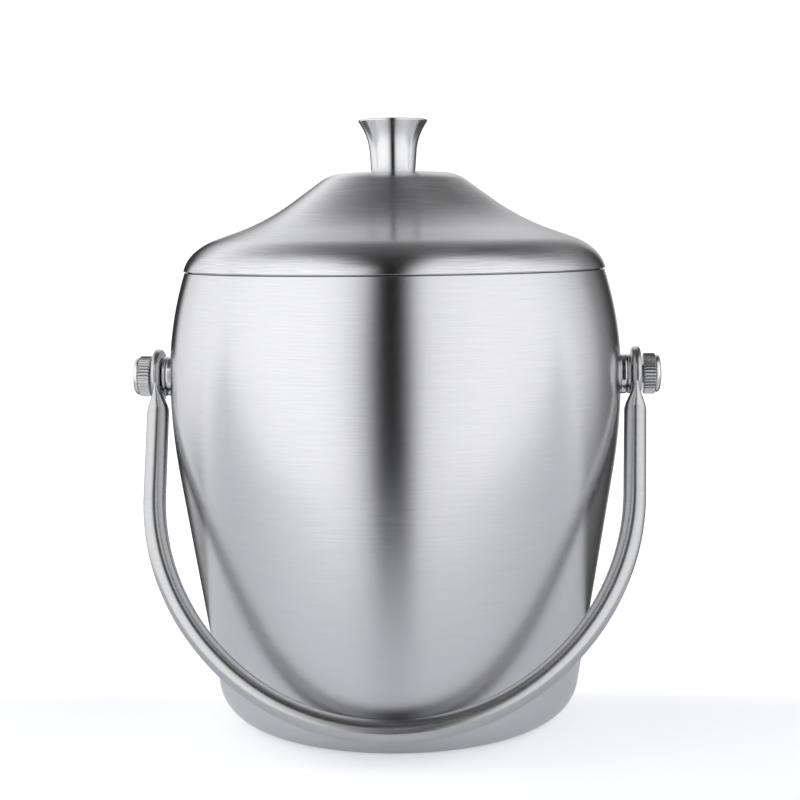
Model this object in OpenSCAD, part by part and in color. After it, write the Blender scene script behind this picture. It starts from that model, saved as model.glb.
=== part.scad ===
// Double-walled stainless steel ice bucket with a lift-off lid and a swinging bail handle.
// Millimetres, +Z up. The origin is on the ground, under the middle of the bucket.
// The handle swings about a line along X through the widest part of the wall.

/* [Bucket wall] */
// Widest diameter of the outer wall
body_d = 165; // [137:1:198]
// Height of the rim above the ground
rim_h = 165; // [150:1:198]
// Height of the widest point and of the handle's pivots
waist_h = 126; // [105:1:134]
// Radius of the wall's barrel curve above the widest point
shoulder_r = 126; // [105:0.5:152]
// Radius of the wall's barrel curve below the widest point
belly_r = 220; // [185:1:264]
// Lean of the straight lower wall, in degrees
taper_deg = 9.25; // [6:0.25:12]
// Radius of the rounded foot
foot_r = 15; // [8:0.5:20]
// Thickness of the outer wall
shell_t = 0.6; // [0.5:0.1:1.2]
// Outside radius of the pressed fold at the top of the outer wall
curl_r = 0.3; // [0.2:0.1:1]
// Width of the ring that the bucket stands on
foot_flange_w = 8; // [5:0.5:12]

/* [Ice well] */
// Width of the flat rim between the mouth and the bucket's edge
rim_w = 5.2; // [4.5:0.1:8]
// Height of the well's floor above the ground
well_floor_h = 12; // [9:0.5:25]
// Lean of the well's wall, in degrees
well_taper_deg = 5; // [3:0.25:7]
// Radius between the well's wall and floor
well_corner_r = 14; // [8:0.5:20]
// Radius of the rolled lip round the mouth
lip_r = 1.5; // [1:0.1:2.5]
// Thickness of the inner wall
liner_t = 0.6; // [0.5:0.1:1]

/* [Base plate] */
// Thickness of the plate that closes the underside
base_t = 0.8; // [0.6:0.1:1.2]
// Width of the seam between the plate and the standing ring
base_lap_w = 5; // [3:0.5:7]
// Height that the middle of the plate is pressed up
base_dish_h = 2; // [1:0.25:4]

/* [Lid] */
// How far the lid stands out over the bucket's edge
lid_overhang = 0.4; // [0:0.1:1]
// Thickness of the lid's outer skin
lid_t = 0.6; // [0.5:0.1:1.2]
// Outside radius of the pressed fold along the lid's lower edge
lid_hem_r = 0.3; // [0.2:0.1:1]
// Radius of the lid's edge where it meets the bucket
lid_edge_r = 14; // [10:0.5:18]
// Radius that leads from the edge into the sloping apron
lid_brow_r = 24; // [16:0.5:30]
// Length of the apron's straight part
lid_apron_w = 8; // [4:0.5:10]
// Slope of the apron, in degrees
lid_apron_deg = 19.5; // [15:0.5:24]
// Slope of the steep flank below the crown, in degrees
lid_flank_deg = 36; // [30:0.5:42]
// Length of the flank's straight part
lid_flank_w = 12; // [6:0.5:16]
// Radius of the shoulder between the flank and the crown
lid_crown_edge_r = 14; // [8:0.5:18]
// Radius of the nearly flat crown
lid_crown_r = 19.5; // [15:0.5:24]
// Depth that the inner cover drops into the mouth
plug_h = 6; // [4:0.5:10]
// Gap round the inner cover in the mouth
plug_gap = 0.7; // [0.4:0.1:1.5]
// Thickness of the inner cover
pan_t = 0.6; // [0.5:0.1:1]

/* [Knob] */
// Height of the knob
knob_h = 19; // [15:0.5:24]
// Radius of the knob at its base
knob_base_r = 8; // [6.5:0.1:9]
// Length of the knob's slender neck
knob_neck_h = 7.5; // [5:0.5:9]
// Lean of the neck, in degrees
knob_neck_deg = 4.5; // [2:0.5:7]
// Radius of the flare above the neck
knob_flare_r = 20; // [15:0.5:24]
// Lean of the wall at the top of the flare, in degrees
knob_flare_deg = 30; // [25:0.5:35]
// Radius of the knob's top edge
knob_edge_r = 0.5; // [0.3:0.1:1]
// Height that the top of the knob is crowned
knob_crown_h = 0.7; // [0.3:0.1:1.2]
// Radius of the screw thread that holds the knob
knob_screw_r = 2.5; // [2:0.5:3]

/* [Handle] */
// Diameter of the handle's round bar
rod_d = 8; // [6.5:0.5:9.5]
// Distance of each eye's middle from the bucket's middle plane, past the wall
eye_out = 5.5; // [5:0.1:8]
// Length of each straight leg, from the pivot
leg_h = 48; // [40:0.5:58]
// Inward lean of the legs, in degrees
leg_lean_deg = 2.8; // [1:0.1:4]
// Radius of the bend at each side
side_bend_r = 92.5; // [80:0.5:110]
// Where the side bend passes into the bottom bend, in degrees below level
bend_split_deg = 52.5; // [40:0.5:65]
// Gap between the resting handle and the bucket's wall
rest_gap = 0.3; // [0.3:0.1:1]
// Outer radius of the flattened eye
eye_r = 10; // [8.5:0.5:12]
// Thickness of the flattened eye
eye_t = 3.2; // [2.6:0.1:4]
// Distance from the pivot to where the bar is round again
neck_h = 15; // [13:0.5:18]

/* [Pivots] */
// Radius of the pivot screw's shank
stud_r = 2.5; // [2:0.1:2.9]
// Radius of the sleeve that the eye turns on
sleeve_r = 3.3; // [3.2:0.1:4]
// Play between the sleeve and the eye's hole
eye_play = 0.1; // [0.05:0.05:0.1]
// Radius of the collar against the wall
boss_r = 7.3; // [6:0.1:8.5]
// Length of the collar outside the wall
boss_w = 2.3; // [2:0.1:3]
// Thickness of the washer beside the eye
washer_t = 1.2; // [0.8:0.1:1.5]
// Radius of the plate inside the wall
plate_r = 9; // [7.5:0.5:11]
// Thickness of the plate inside the wall
plate_t = 2; // [1.5:0.1:3]
// Radius of the pivot screw's head
stud_head_r = 4.6; // [4:0.1:5.5]
// Thickness of the pivot screw's head
stud_head_h = 3; // [2:0.1:3.5]
// Gap between the eye and the nut
nut_gap = 1; // [0.6:0.1:1.5]
// Radius over the nut's knurling
nut_r = 7.5; // [6.5:0.1:9]
// Length of the nut's knurled part
knurl_w = 4.4; // [3.5:0.1:6]
// Number of ridges round the nut
knurl_n = 38; // [30:1:44]
// Depth of the knurling
knurl_depth = 0.35; // [0.2:0.05:0.5]
// Height of the nut's domed end
nut_dome_h = 2.3; // [1.5:0.1:3]

/* [Hidden] */
// Gap round a screw in its hole
hole_gap = 0.1;
// Gap that lets the nut turn against the sleeve
nut_face_gap = 0.05;
// Lean of the lid's edge where its lower fold starts, in degrees from upright
lid_edge_deg = 17;
// Normal angle at which the lid's brow passes into its edge
lid_brow_deg = 50;
// Slope of the crown at its shoulder, in degrees
lid_crown_deg = 5;
// Radius of the flat seat that the knob stands on
knob_seat_r = 9;
// Depth and radius of the driver sockets, and sizes of the knob's screw
socket_h = 1.6;
socket_r = 1.7;
knob_screw_l = 12;
knob_head_r = 4.4;
knob_head_h = 2.8;
knob_washer_r = 7;
knob_washer_t = 1.2;
// Gap between the well's flange and the inside of the wall
flange_gap = 0.2;
// Gap between the inner cover's flange and the inside of the lid's edge
pan_gap = 0.8;
// How far the turned-in edges of the wall and lid stop outside the mouth's lip
fold_inset = 0.5;
// Small bevels on turned pieces
bevel = 0.3;
// How far cutters run past what they cut
past = 1;
// Angle between the rings of a curved wall
step_deg = 3;
// Angle between the rings of the handle's bends, and the number of sides of its bar
bar_step_deg = 4;
bar_sides = 20;

body_r = body_d / 2;

// The turned-in top edge touches the shoulder curve here
curl_a = asin((rim_h - curl_r - waist_h) / (shoulder_r - curl_r));
curl_c = [body_r - shoulder_r + (shoulder_r - curl_r) * cos(curl_a), rim_h - curl_r];
mouth_r = curl_c[0] + curl_r;
well_r = mouth_r - rim_w;
// The well's flange is tucked under the outer wall's turned-in edge
flange_top = rim_h - shell_t;
wall_fold = mitre(curl_c, curl_r, 90, curl_a, shell_t);
flange_r = wall_fold[0] - flange_gap;
fold_end_r = well_r + lip_r + fold_inset;

// The straight lower wall, from the end of the belly curve to the foot
belly_end = [body_r - belly_r * (1 - cos(taper_deg)), waist_h - belly_r * sin(taper_deg)];
foot_top_z = foot_r * (1 - sin(taper_deg));
foot_top_r = belly_end[0] - (belly_end[1] - foot_top_z) * tan(taper_deg);
foot_c = [foot_top_r - foot_r * cos(taper_deg), foot_r];
foot_hole_r = foot_c[0] - foot_flange_w;

// The lid's outline, worked inwards from its edge
lid_r = mouth_r + lid_overhang;
edge_start_r = lid_r - lid_hem_r * (1 - cos(lid_edge_deg));
edge_start_z = rim_h + lid_hem_r * (1 + sin(lid_edge_deg));
apron_n = 90 - lid_apron_deg;
flank_n = 90 - lid_flank_deg;
crown_n = 90 - lid_crown_deg;
function run(r, a0, a1) = r * (cos(a1) - cos(a0));
function fall(r, a0, a1) = r * (sin(a0) - sin(a1));
brow_end_r = edge_start_r - run(lid_edge_r, lid_brow_deg, lid_edge_deg);
brow_start_r = brow_end_r - run(lid_brow_r, apron_n, lid_brow_deg);
apron_start_r = brow_start_r - lid_apron_w * cos(lid_apron_deg);
flank_start_r = lid_crown_r + run(lid_crown_edge_r, crown_n, flank_n);
flank_end_r = flank_start_r + lid_flank_w * cos(lid_flank_deg);
lid_sweep_r = (apron_start_r - flank_end_r) / (cos(flank_n) - cos(apron_n));
lid_dome_r = (lid_crown_r - knob_seat_r) / cos(crown_n);
lid_top = edge_start_z + fall(lid_edge_r, lid_brow_deg, lid_edge_deg)
    + fall(lid_brow_r, apron_n, lid_brow_deg) + lid_apron_w * sin(lid_apron_deg)
    + fall(lid_sweep_r, apron_n, flank_n) + lid_flank_w * sin(lid_flank_deg)
    + fall(lid_crown_edge_r, crown_n, flank_n) + fall(lid_dome_r, 90, crown_n);
plug_r = well_r - plug_gap;
pan_seat_z = rim_h + lid_t;
lid_fold_c = [lid_r - lid_hem_r, rim_h + lid_hem_r];
lid_fold = mitre(lid_fold_c, lid_hem_r, lid_edge_deg, -90, lid_t);
pan_r = lid_fold[0] - pan_gap;

// Where each piece of a pivot starts and ends, measured out from the bucket's middle
plate_in_x = body_r - shell_t - plate_t;
boss_end_x = body_r + boss_w;
washer_end_x = boss_end_x + washer_t;
eye_x = body_r + eye_out;
nut_x = eye_x + eye_t / 2 + nut_gap;
knurl_end_x = nut_x + knurl_w;
stud_end_x = knurl_end_x;
eye_hole_r = sleeve_r + eye_play;

// The handle, in its own plane: x across, y down from the pivots
rod_r = rod_d / 2;
leg_end = [eye_x - leg_h * tan(leg_lean_deg), leg_h];
side_c = [leg_end[0] - side_bend_r * cos(leg_lean_deg), leg_end[1] - side_bend_r * sin(leg_lean_deg)];
split = side_c + side_bend_r * [cos(bend_split_deg), sin(bend_split_deg)];
bottom_bend_r = split[0] / cos(bend_split_deg);
bottom_c = [0, split[1] - bottom_bend_r * sin(bend_split_deg)];
drop = bottom_c[1] + bottom_bend_r;
// The handle hangs forward until its lowest part meets the straight lower wall
rest_reach = (foot_top_r + (waist_h - foot_top_z) * tan(taper_deg)) * cos(taper_deg) + rod_r + rest_gap;
rest_tilt = asin(rest_reach / drop) - taper_deg;

// ---- outlines: each point is [radius, height, angle of the outward normal] ----

// A curve about c. A negative radius makes it hollow.
function arc(c, r, a0, a1) =
    let (n = max(3, ceil(abs(a1 - a0) / step_deg)))
    [for (i = [0:n]) let (a = a0 + (a1 - a0) * i / n) [c[0] + r * cos(a), c[1] + r * sin(a), a]];
// The centre of the curve of radius r that passes through p with normal angle a
function centre(p, r, a) = [p[0] - r * cos(a), p[1] - r * sin(a)];
// The point at distance w along a slope that falls at deg
function along(p, w, deg) = [p[0] + w * cos(deg), p[1] - w * sin(deg)];
function last(list) = list[len(list) - 1];
function xy(list) = [for (p = list) [p[0], p[1]]];
function inset(list, t) = [for (p = list) [p[0] - t * cos(p[2]), p[1] - t * sin(p[2])]];
function reversed(list) = [for (i = [len(list) - 1:-1:0]) list[i]];
// A sheet of thickness t whose outer face follows the list
function sheet(list, t) = concat(xy(list), reversed(inset(list, t)));
// The inner corner of a pressed fold in a sheet of thickness t, for the outer curve of radius r about c
function mitre(c, r, a0, a1, t) =
    let (reach = (r - t) / cos((a1 - a0) / 2), mid = (a0 + a1) / 2)
    [c[0] + reach * cos(mid), c[1] + reach * sin(mid)];

// The outer wall, from its turned-in top edge down to the ring it stands on
rim_line = [[fold_end_r, rim_h, 90]];
wall_line = concat(
    arc([body_r - shoulder_r, waist_h], shoulder_r, curl_a, 0),
    arc([body_r - belly_r, waist_h], belly_r, 0, -taper_deg),
    arc(foot_c, foot_r, -taper_deg, -90),
    [[foot_hole_r, 0, -90]]
);
body_outer = concat(xy(rim_line), xy(arc(curl_c, curl_r, 90, curl_a)), xy(wall_line));
body_inner = concat(inset(rim_line, shell_t), [wall_fold], inset(wall_line, shell_t));

// The well's inside face, from the rim's flange down to the middle of the floor
well_foot_a = 180 - well_taper_deg;
well_corner_z = well_floor_h + well_corner_r;
well_corner_c = [
    well_r - (flange_top - lip_r - well_corner_z) * tan(well_taper_deg)
        - well_corner_r / cos(well_taper_deg) + lip_r * (1 / cos(well_taper_deg) - 1),
    well_corner_z
];
liner_line = concat(
    [[flange_r, flange_top, 90]],
    arc([well_r + lip_r, flange_top - lip_r], lip_r, 90, well_foot_a),
    arc(well_corner_c, -well_corner_r, well_foot_a, 90),
    [[0, well_floor_h, 90]]
);

// The lid's outer face, from the knob's seat out to the fold along its lower edge
dome_line = arc([knob_seat_r, lid_top - lid_dome_r], lid_dome_r, 90, crown_n);
crown_line = arc(centre(last(dome_line), lid_crown_edge_r, crown_n), lid_crown_edge_r, crown_n, flank_n);
flank_end = along(last(crown_line), lid_flank_w, lid_flank_deg);
sweep_line = arc(centre(flank_end, -lid_sweep_r, flank_n), -lid_sweep_r, flank_n, apron_n);
apron_end = along(last(sweep_line), lid_apron_w, lid_apron_deg);
brow_line = arc(centre(apron_end, lid_brow_r, apron_n), lid_brow_r, apron_n, lid_brow_deg);
edge_line = arc(centre(last(brow_line), lid_edge_r, lid_brow_deg), lid_edge_r, lid_brow_deg, lid_edge_deg);
face_line = concat([[0, lid_top, 90]], dome_line, crown_line, sweep_line, brow_line, edge_line);
seat_line = [[fold_end_r, rim_h, -90]];
lid_outer = concat(xy(face_line), xy(arc(lid_fold_c, lid_hem_r, lid_edge_deg, -90)), xy(seat_line));
lid_inner = concat(inset(face_line, lid_t), [lid_fold], inset(seat_line, lid_t));

// ---- shared shapes ----

module revolve(points) {
    rotate_extrude($fn = 180) polygon(points);
}

// Turns local +Z to point out of the bucket's left (-1) or right (1) side, at pivot height
module at_pivot(side) {
    translate([0, 0, waist_h]) rotate([0, 90 * side, 0]) children();
}

// A bar along local Z from z0 to z1
module bar(r, z0, z1) {
    translate([0, 0, z0]) cylinder(r = r, h = z1 - z0, $fn = 64);
}

// A turned ring with bevelled outer edges, from z0 to z1
module ring(r, hole_r, z0, z1) {
    rotate_extrude($fn = 96) polygon([
        [hole_r, z0], [r - bevel, z0], [r, z0 + bevel], [r, z1 - bevel], [r - bevel, z1], [hole_r, z1]
    ]);
}

// Everything inside the outer wall's outer or inner face
module body_volume(line) {
    revolve(concat([[0, line[0][1]]], line, [[0, last(line)[1]]]));
}

// ---- bucket ----

module outer_shell() {
    color([0.76, 0.77, 0.78]) difference() {
        revolve(concat(body_outer, reversed(body_inner)));
        for (side = [-1, 1]) {
            at_pivot(side) bar(stud_r + hole_gap, plate_in_x, boss_end_x);
        }
    }
}

module inner_liner() {
    color([0.80, 0.81, 0.82]) revolve(sheet(liner_line, liner_t));
}

module base_plate() {
    rim_r = foot_hole_r + base_lap_w;
    dish_r = foot_hole_r - base_dish_h;
    z = shell_t;
    color([0.70, 0.71, 0.72]) revolve([
        [0, z + base_dish_h], [dish_r - base_dish_h, z + base_dish_h], [dish_r, z], [rim_r, z],
        [rim_r, z + base_t], [dish_r - base_t / 2, z + base_t],
        [dish_r - base_dish_h - base_t / 2, z + base_dish_h + base_t], [0, z + base_dish_h + base_t]
    ]);
}

// ---- lid ----

module lid_shell() {
    color([0.74, 0.75, 0.76]) difference() {
        revolve(concat(lid_outer, reversed(lid_inner)));
        bar(knob_screw_r + hole_gap, lid_top - lid_t - past, lid_top + past);
    }
}

module lid_pan() {
    pan_line = concat(
        [[pan_r, pan_seat_z + pan_t, 90]],
        arc([plug_r + lip_r - pan_t, pan_seat_z + pan_t - lip_r], lip_r, 90, 180),
        arc([plug_r - pan_t - lip_r, rim_h - plug_h + pan_t + lip_r], -lip_r, 180, 90),
        [[0, rim_h - plug_h + pan_t, 90]]
    );
    color([0.80, 0.81, 0.82]) revolve(sheet(pan_line, pan_t));
}

module lid_knob() {
    neck_top_r = knob_base_r + knob_neck_h * tan(knob_neck_deg);
    flare = arc(
        centre([neck_top_r, lid_top + knob_neck_h], -knob_flare_r, -knob_neck_deg),
        -knob_flare_r, -knob_neck_deg, -knob_flare_deg
    );
    rim_z = lid_top + knob_h - knob_crown_h;
    rim_r = last(flare)[0] + (rim_z - last(flare)[1]) * tan(knob_flare_deg);
    crown_r = (pow(rim_r - knob_edge_r, 2) + pow(knob_crown_h, 2)) / (2 * knob_crown_h);
    crown_a = asin((rim_r - knob_edge_r) / crown_r);
    color([0.88, 0.89, 0.90]) difference() {
        revolve(concat(
            [[0, lid_top], [knob_base_r, lid_top]],
            xy(flare),
            xy(arc([rim_r - knob_edge_r, rim_z - knob_edge_r], knob_edge_r, -knob_flare_deg, 90)),
            xy(arc([0, lid_top + knob_h - crown_r], crown_r, 90 - crown_a, 90))
        ));
        bar(knob_screw_r + hole_gap, lid_top - past, lid_top + knob_screw_l);
    }
}

module knob_screw() {
    head_top = lid_top - lid_t - knob_washer_t;
    color([0.62, 0.63, 0.65]) difference() {
        union() {
            bar(knob_head_r, head_top - knob_head_h, head_top);
            bar(knob_screw_r, head_top, lid_top + knob_screw_l - past);
        }
        translate([0, 0, head_top - knob_head_h - past])
            cylinder(r = socket_r, h = socket_h + past, $fn = 6);
    }
}

module knob_washer() {
    top = lid_top - lid_t;
    color([0.70, 0.71, 0.72])
        ring(knob_washer_r, knob_screw_r + hole_gap, top - knob_washer_t, top);
}

// ---- handle ----

// Stations along the bar: [x, y, angle of the outer side below level, half thickness, half width]
function leg_station(t, half_t, half_w) =
    [eye_x - t * tan(leg_lean_deg), -t, leg_lean_deg, half_t, half_w];
function bend_stations(c, r, a0, a1) =
    let (n = ceil(abs(a1 - a0) / bar_step_deg))
    [for (i = [0:n]) let (a = a0 + (a1 - a0) * i / n)
        [c[0] + r * cos(a), -c[1] - r * sin(a), a, rod_r, rod_r]];
function smooth(f) = f * f * (3 - 2 * f);
function mirrored(list) = [for (p = reversed(list)) [-p[0], p[1], 180 - p[2], p[3], p[4]]];

// From the flat eye, round by the end of the neck, to the end of the side bend
neck_in_h = 0.6 * eye_r;
neck_in_w = 0.95 * sqrt(eye_r * eye_r - neck_in_h * neck_in_h);
neck_in_t = 0.45 * eye_t;
side_stations = concat(
    [for (i = [0:6]) let (f = i / 6)
        leg_station(neck_in_h + (neck_h - neck_in_h) * f,
            neck_in_t + (rod_r - neck_in_t) * smooth(f), neck_in_w + (rod_r - neck_in_w) * smooth(f))],
    bend_stations(side_c, side_bend_r, leg_lean_deg, bend_split_deg)
);
bottom_stations = bend_stations(bottom_c, bottom_bend_r, bend_split_deg, 180 - bend_split_deg);
bar_stations = concat(
    side_stations,
    [for (i = [1:len(bottom_stations) - 2]) bottom_stations[i]],
    mirrored(side_stations)
);

// A closed bar swept through the stations
module swept_bar(stations, sides) {
    m = len(stations);
    points = [for (p = stations, k = [0:sides - 1]) let (q = 360 * k / sides) [
        p[0] + p[3] * cos(q) * cos(p[2]), p[1] - p[3] * cos(q) * sin(p[2]), p[4] * sin(q)
    ]];
    function at(i, k) = i * sides + k % sides;
    polyhedron(points, concat(
        [[for (k = [0:sides - 1]) k]],
        [for (i = [0:m - 2], k = [0:sides - 1]) [at(i, k), at(i + 1, k), at(i + 1, k + 1)]],
        [for (i = [0:m - 2], k = [0:sides - 1]) [at(i, k), at(i + 1, k + 1), at(i, k + 1)]],
        [[for (k = [sides - 1:-1:0]) at(m - 1, k)]]
    ));
}

module bail_handle() {
    color([0.78, 0.79, 0.80])
        translate([0, 0, waist_h]) rotate([90 - rest_tilt, 0, 0]) difference() {
            union() {
                swept_bar(bar_stations, bar_sides);
                for (side = [-1, 1]) {
                    rotate([0, 90 * side, 0]) bar(eye_r, eye_x - eye_t / 2, eye_x + eye_t / 2);
                }
            }
            for (side = [-1, 1]) {
                rotate([0, 90 * side, 0]) bar(eye_hole_r, eye_x - eye_t, eye_x + eye_t);
            }
        }
}

// ---- pivots ----

module pivot_stud(side) {
    color([0.62, 0.63, 0.65]) at_pivot(side) difference() {
        union() {
            bar(stud_head_r, plate_in_x - stud_head_h, plate_in_x);
            bar(stud_r, plate_in_x, stud_end_x);
        }
        translate([0, 0, plate_in_x - stud_head_h - past])
            cylinder(r = socket_r, h = socket_h + past, $fn = 6);
    }
}

module stud_plate(side) {
    color([0.66, 0.67, 0.69]) difference() {
        intersection() {
            at_pivot(side) bar(plate_r, plate_in_x, body_r);
            body_volume(body_inner);
        }
        at_pivot(side) bar(stud_r + hole_gap, plate_in_x - past, body_r + past);
    }
}

module pivot_boss(side) {
    color([0.86, 0.87, 0.88]) difference() {
        at_pivot(side) ring(boss_r, stud_r + hole_gap, body_r - boss_w, boss_end_x);
        body_volume(body_outer);
    }
}

module pivot_washer(side) {
    color([0.86, 0.87, 0.88]) at_pivot(side)
        ring(boss_r, stud_r + hole_gap, boss_end_x, washer_end_x);
}

module pivot_sleeve(side) {
    color([0.55, 0.56, 0.58]) at_pivot(side) difference() {
        bar(sleeve_r, washer_end_x, nut_x - nut_face_gap);
        bar(stud_r + hole_gap, washer_end_x - past, nut_x + past);
    }
}

module cap_nut(side) {
    dome_foot_r = nut_r - knurl_depth - bevel;
    dome_r = (pow(dome_foot_r, 2) + pow(nut_dome_h, 2)) / (2 * nut_dome_h);
    dome_a = asin(dome_foot_r / dome_r);
    color([0.84, 0.85, 0.86]) at_pivot(side) difference() {
        union() {
            translate([0, 0, nut_x]) linear_extrude(knurl_w) polygon([
                for (i = [0:2 * knurl_n - 1])
                    let (r = i % 2 == 0 ? nut_r : nut_r - knurl_depth, a = 180 * i / knurl_n)
                    [r * cos(a), r * sin(a)]
            ]);
            translate([0, 0, knurl_end_x]) rotate_extrude($fn = 96) polygon(concat(
                [[0, 0]], xy(arc([0, nut_dome_h - dome_r], dome_r, 90 - dome_a, 90))
            ));
        }
        bar(stud_r + hole_gap, nut_x - past, stud_end_x + 3 * hole_gap);
    }
}

outer_shell();
inner_liner();
base_plate();
lid_shell();
lid_pan();
lid_knob();
knob_screw();
knob_washer();
bail_handle();
pivot_stud(-1);  // pivot_stud_left
pivot_stud(1);  // pivot_stud_right
stud_plate(-1);  // stud_plate_left
stud_plate(1);  // stud_plate_right
pivot_boss(-1);  // pivot_boss_left
pivot_boss(1);  // pivot_boss_right
pivot_washer(-1);  // pivot_washer_left
pivot_washer(1);  // pivot_washer_right
pivot_sleeve(-1);  // pivot_sleeve_left
pivot_sleeve(1);  // pivot_sleeve_right
cap_nut(-1);  // cap_nut_left
cap_nut(1);  // cap_nut_right
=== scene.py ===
"""Looks of a double-walled steel ice bucket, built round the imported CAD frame. Metres, +Z up."""

from math import asin, ceil, cos, degrees, radians, sin, sqrt, tan

import bmesh
import bpy
from mathutils import Matrix, Vector


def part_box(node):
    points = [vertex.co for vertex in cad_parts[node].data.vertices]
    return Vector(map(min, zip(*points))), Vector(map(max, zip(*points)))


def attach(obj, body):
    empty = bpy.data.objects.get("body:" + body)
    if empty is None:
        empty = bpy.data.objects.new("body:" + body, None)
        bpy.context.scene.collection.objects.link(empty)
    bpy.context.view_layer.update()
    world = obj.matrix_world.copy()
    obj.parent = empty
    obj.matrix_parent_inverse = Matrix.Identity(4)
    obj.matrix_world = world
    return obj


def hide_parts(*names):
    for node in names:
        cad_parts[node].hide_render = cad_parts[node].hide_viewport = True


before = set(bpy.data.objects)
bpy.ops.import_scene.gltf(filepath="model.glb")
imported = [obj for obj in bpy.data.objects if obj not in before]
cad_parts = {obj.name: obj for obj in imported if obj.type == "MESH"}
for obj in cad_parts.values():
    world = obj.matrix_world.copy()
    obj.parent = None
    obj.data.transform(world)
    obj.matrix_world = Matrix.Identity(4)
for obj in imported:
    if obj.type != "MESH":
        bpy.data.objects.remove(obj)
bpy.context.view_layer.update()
MM = 0.001

# ---- camera ----

CAMERA_AZIMUTH = 3.1          # degrees round the bucket from the front, towards its right side
CAMERA_DISTANCE = 601.5 * MM  # from the bucket's axis, level
CAMERA_HEIGHT = 180.05 * MM
CAMERA_ASIDE = 1.5 * MM       # sideways, to the camera's right
CAMERA_PITCH = 6.02           # degrees below level
CAMERA_ROLL = 0.616           # degrees
CAMERA_LENS = 73.6            # millimetres, on a sensor 36 mm wide

FRONT = Vector((sin(radians(CAMERA_AZIMUTH)), -cos(radians(CAMERA_AZIMUTH)), 0))
SIDE = Vector((-FRONT.y, FRONT.x, 0))


def make_camera():
    data = bpy.data.cameras.new("camera")
    data.lens = CAMERA_LENS
    data.sensor_width = 36
    data.clip_start = 10 * MM
    data.clip_end = 50
    camera = bpy.data.objects.new("camera", data)
    bpy.context.collection.objects.link(camera)
    pitch, roll = radians(CAMERA_PITCH), radians(CAMERA_ROLL)
    back = FRONT * cos(pitch) + Vector((0, 0, sin(pitch)))
    level_up = back.cross(SIDE)
    right = SIDE * cos(roll) - level_up * sin(roll)
    up = back.cross(right)
    turn = Matrix((right, up, back)).transposed().to_4x4()
    place = FRONT * CAMERA_DISTANCE + SIDE * CAMERA_ASIDE + Vector((0, 0, CAMERA_HEIGHT))
    camera.matrix_world = Matrix.Translation(place) @ turn
    bpy.context.scene.camera = camera


make_camera()

# ---- sizes: the frame's own, then the outline's, which are the CAD part's. Angles are in degrees ----

BODY_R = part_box("outer_shell")[1].x
RIM_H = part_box("outer_shell")[1].z
FLANGE_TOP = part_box("inner_liner")[1].z
LID_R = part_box("lid_shell")[1].x
LID_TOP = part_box("lid_shell")[1].z
KNOB_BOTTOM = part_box("lid_knob")[0].z
KNOB_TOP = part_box("lid_knob")[1].z
BOSS_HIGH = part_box("pivot_boss_right")[1]
WASHER_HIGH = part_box("pivot_washer_right")[1]
NUT_LOW, NUT_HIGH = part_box("cap_nut_right")
WAIST_H = (NUT_LOW.z + NUT_HIGH.z) / 2
NUT_R = (NUT_HIGH.z - NUT_LOW.z) / 2
BOSS_R = WASHER_HIGH.z - WAIST_H

# Outer wall: round above and below the waist, then straight down to the rounded foot
SHOULDER_R = 126 * MM
BELLY_R = 220 * MM
TAPER = 9.25
FOOT_R = 15 * MM
FOOT_FLANGE_W = 8 * MM
SHELL_T = 0.6 * MM
CURL_R = 0.3 * MM
SEAM_H = 0.45 * MM         # height of the shadow groove under the lid's edge
SEAM_W = 1.3 * MM          # how deep the groove runs in

# Ice well
RIM_W = 5.2 * MM
LIP_R = 1.5 * MM
LINER_T = 0.6 * MM
WELL_FLOOR_H = 12 * MM
WELL_TAPER = 5
WELL_CORNER_R = 14 * MM
FOLD_INSET = 0.5 * MM      # from the well's lip to the end of the wall's turned-in edge
FLANGE_GAP = 0.2 * MM

# Lid, from its lower edge up: edge, brow, apron, sweep, flank and crown
LID_T = 0.6 * MM
LID_HEM_R = 0.3 * MM
LID_EDGE_R = 14 * MM
LID_EDGE = 17
LID_BROW_R = 24 * MM
LID_BROW = 50
LID_APRON_W = 8 * MM
LID_APRON = 19.5
LID_FLANK = 36
LID_FLANK_W = 12 * MM
LID_CROWN_EDGE_R = 14 * MM
LID_CROWN_R = 19.5 * MM
LID_CROWN = 5
KNOB_SEAT_R = 9 * MM

# The lid's inner cover
PAN_T = 0.6 * MM
PAN_GAP = 0.8 * MM
PLUG_H = 6 * MM
PLUG_GAP = 0.7 * MM

# Knob
KNOB_BASE_R = 8 * MM
KNOB_NECK_H = 7.5 * MM
KNOB_NECK = 4.5
KNOB_FLARE_R = 20 * MM
KNOB_FLARE = 30
KNOB_EDGE_R = 0.5 * MM
KNOB_CROWN_H = 0.7 * MM    # sets where the flare ends, as in the CAD
KNOB_FLAT_H = 0.2 * MM     # the crown as it is seen, flatter
SCREW_HOLE_R = 2.6 * MM
SCREW_HOLE_H = 12 * MM

# Handle
ROD_R = 4 * MM
EYE_OUT = 5.5 * MM
LEG_H = 48 * MM
LEG_LEAN = 2.8
SIDE_BEND_R = 92.5 * MM
BEND_SPLIT = 52.5
REST_GAP = 0.3 * MM
EYE_R = 10 * MM
EYE_T = 3.2 * MM
EYE_EDGE_R = 1.3 * MM
EYE_HOLE_R = 3.4 * MM
NECK_H = 15 * MM
NECK_ROOT = 0.6            # where the neck starts inside the eye, of the eye's radius
NECK_ROOT_W = 0.95         # how wide it is there, of the eye's own width
NECK_ROOT_T = 0.45         # half its thickness there, of the eye's thickness

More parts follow.
